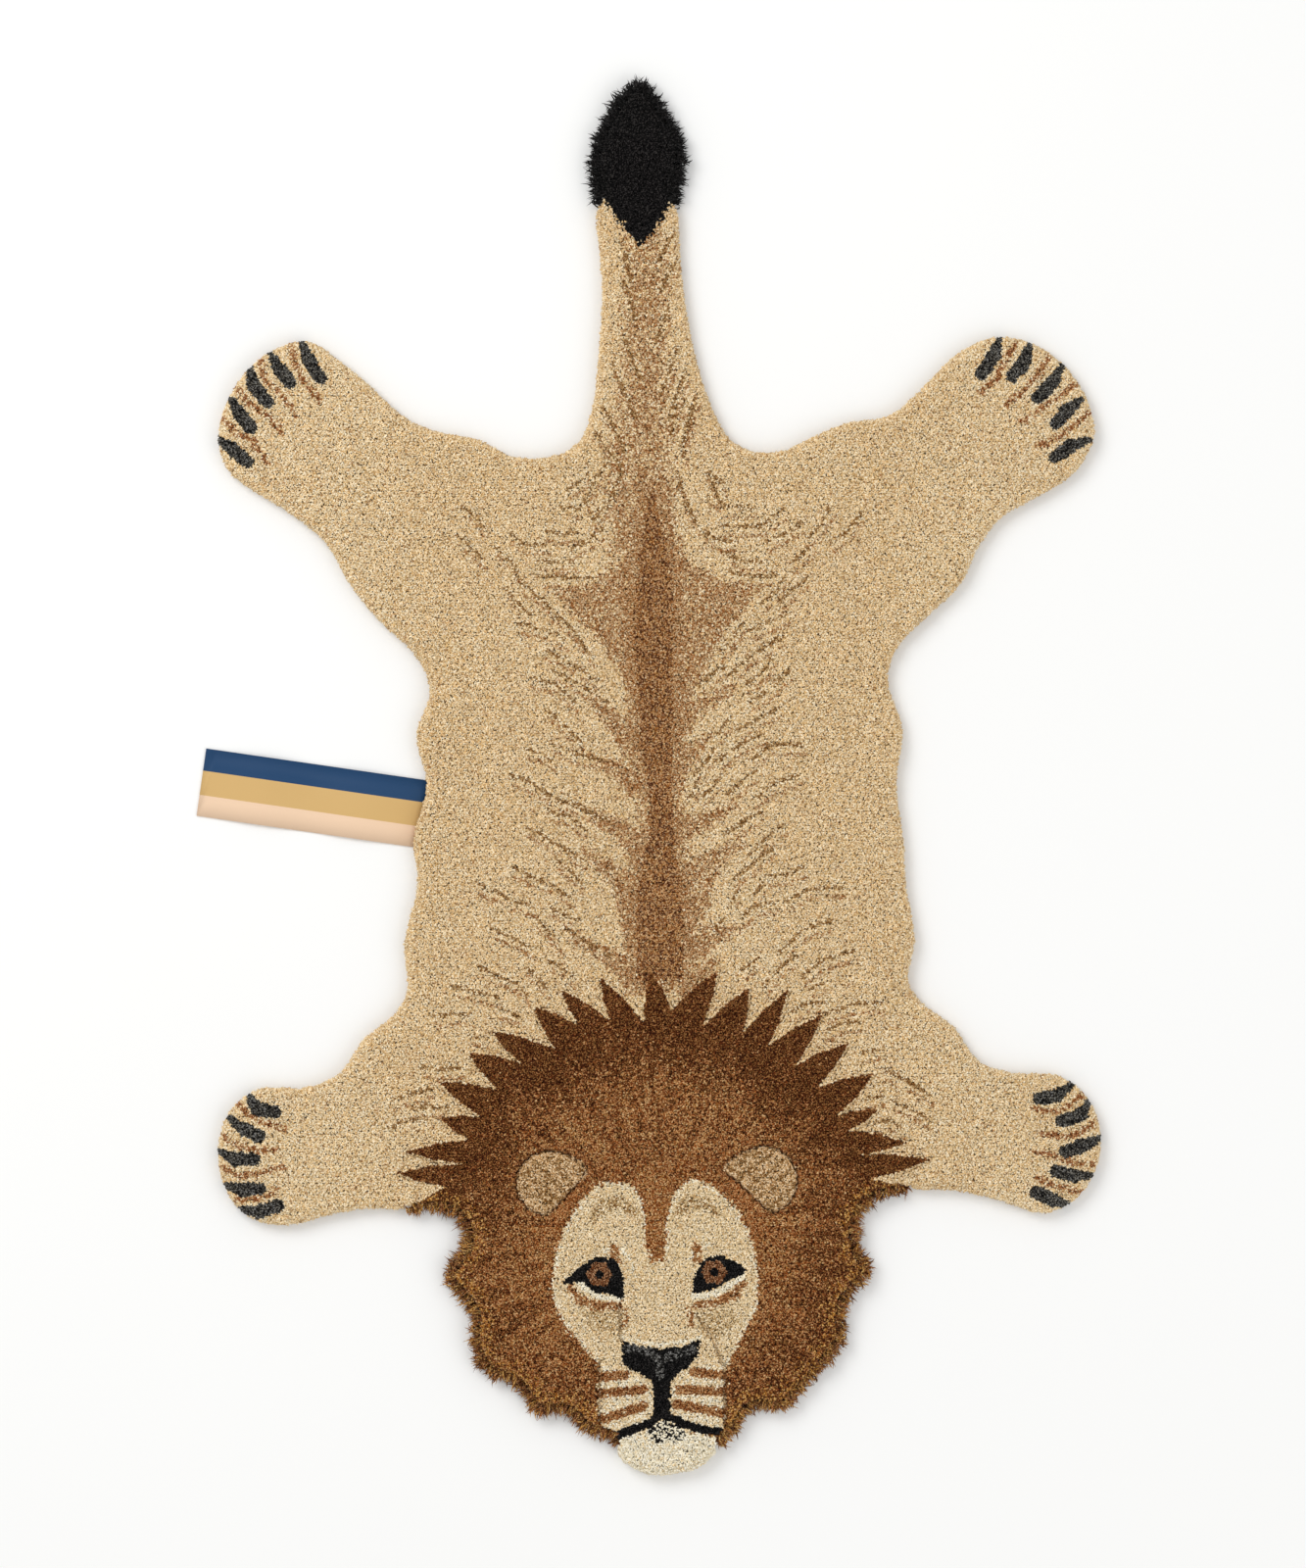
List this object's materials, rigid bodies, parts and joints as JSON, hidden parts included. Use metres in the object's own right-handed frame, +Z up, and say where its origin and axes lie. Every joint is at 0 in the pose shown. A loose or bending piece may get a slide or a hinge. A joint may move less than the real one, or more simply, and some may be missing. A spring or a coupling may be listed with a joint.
{
  "type": "lion shaped kids rug",
  "caption": "Tufted wool rug for a child's room in the outline of a lion's hide, with a shaggy mane and tail tuft, lying flat, and a cloth label at its edge.",
  "frame": {"origin": "middle of the rug's flat underside, on the floor", "axes": "+Z up out of the pile, +Y along the spine towards the tail, +X to the right seen from above with the tail at the top"},
  "size_m": [0.5983, 0.9236, 0.0153],
  "materials": {
    "wool_pile": "cut wool pile, matt",
    "label_cloth": "woven satin label, dull"
  },
  "bodies": {
    "root": {"tufted_rug": "wool_pile", "label": "label_cloth"}
  },
  "joints": []
}
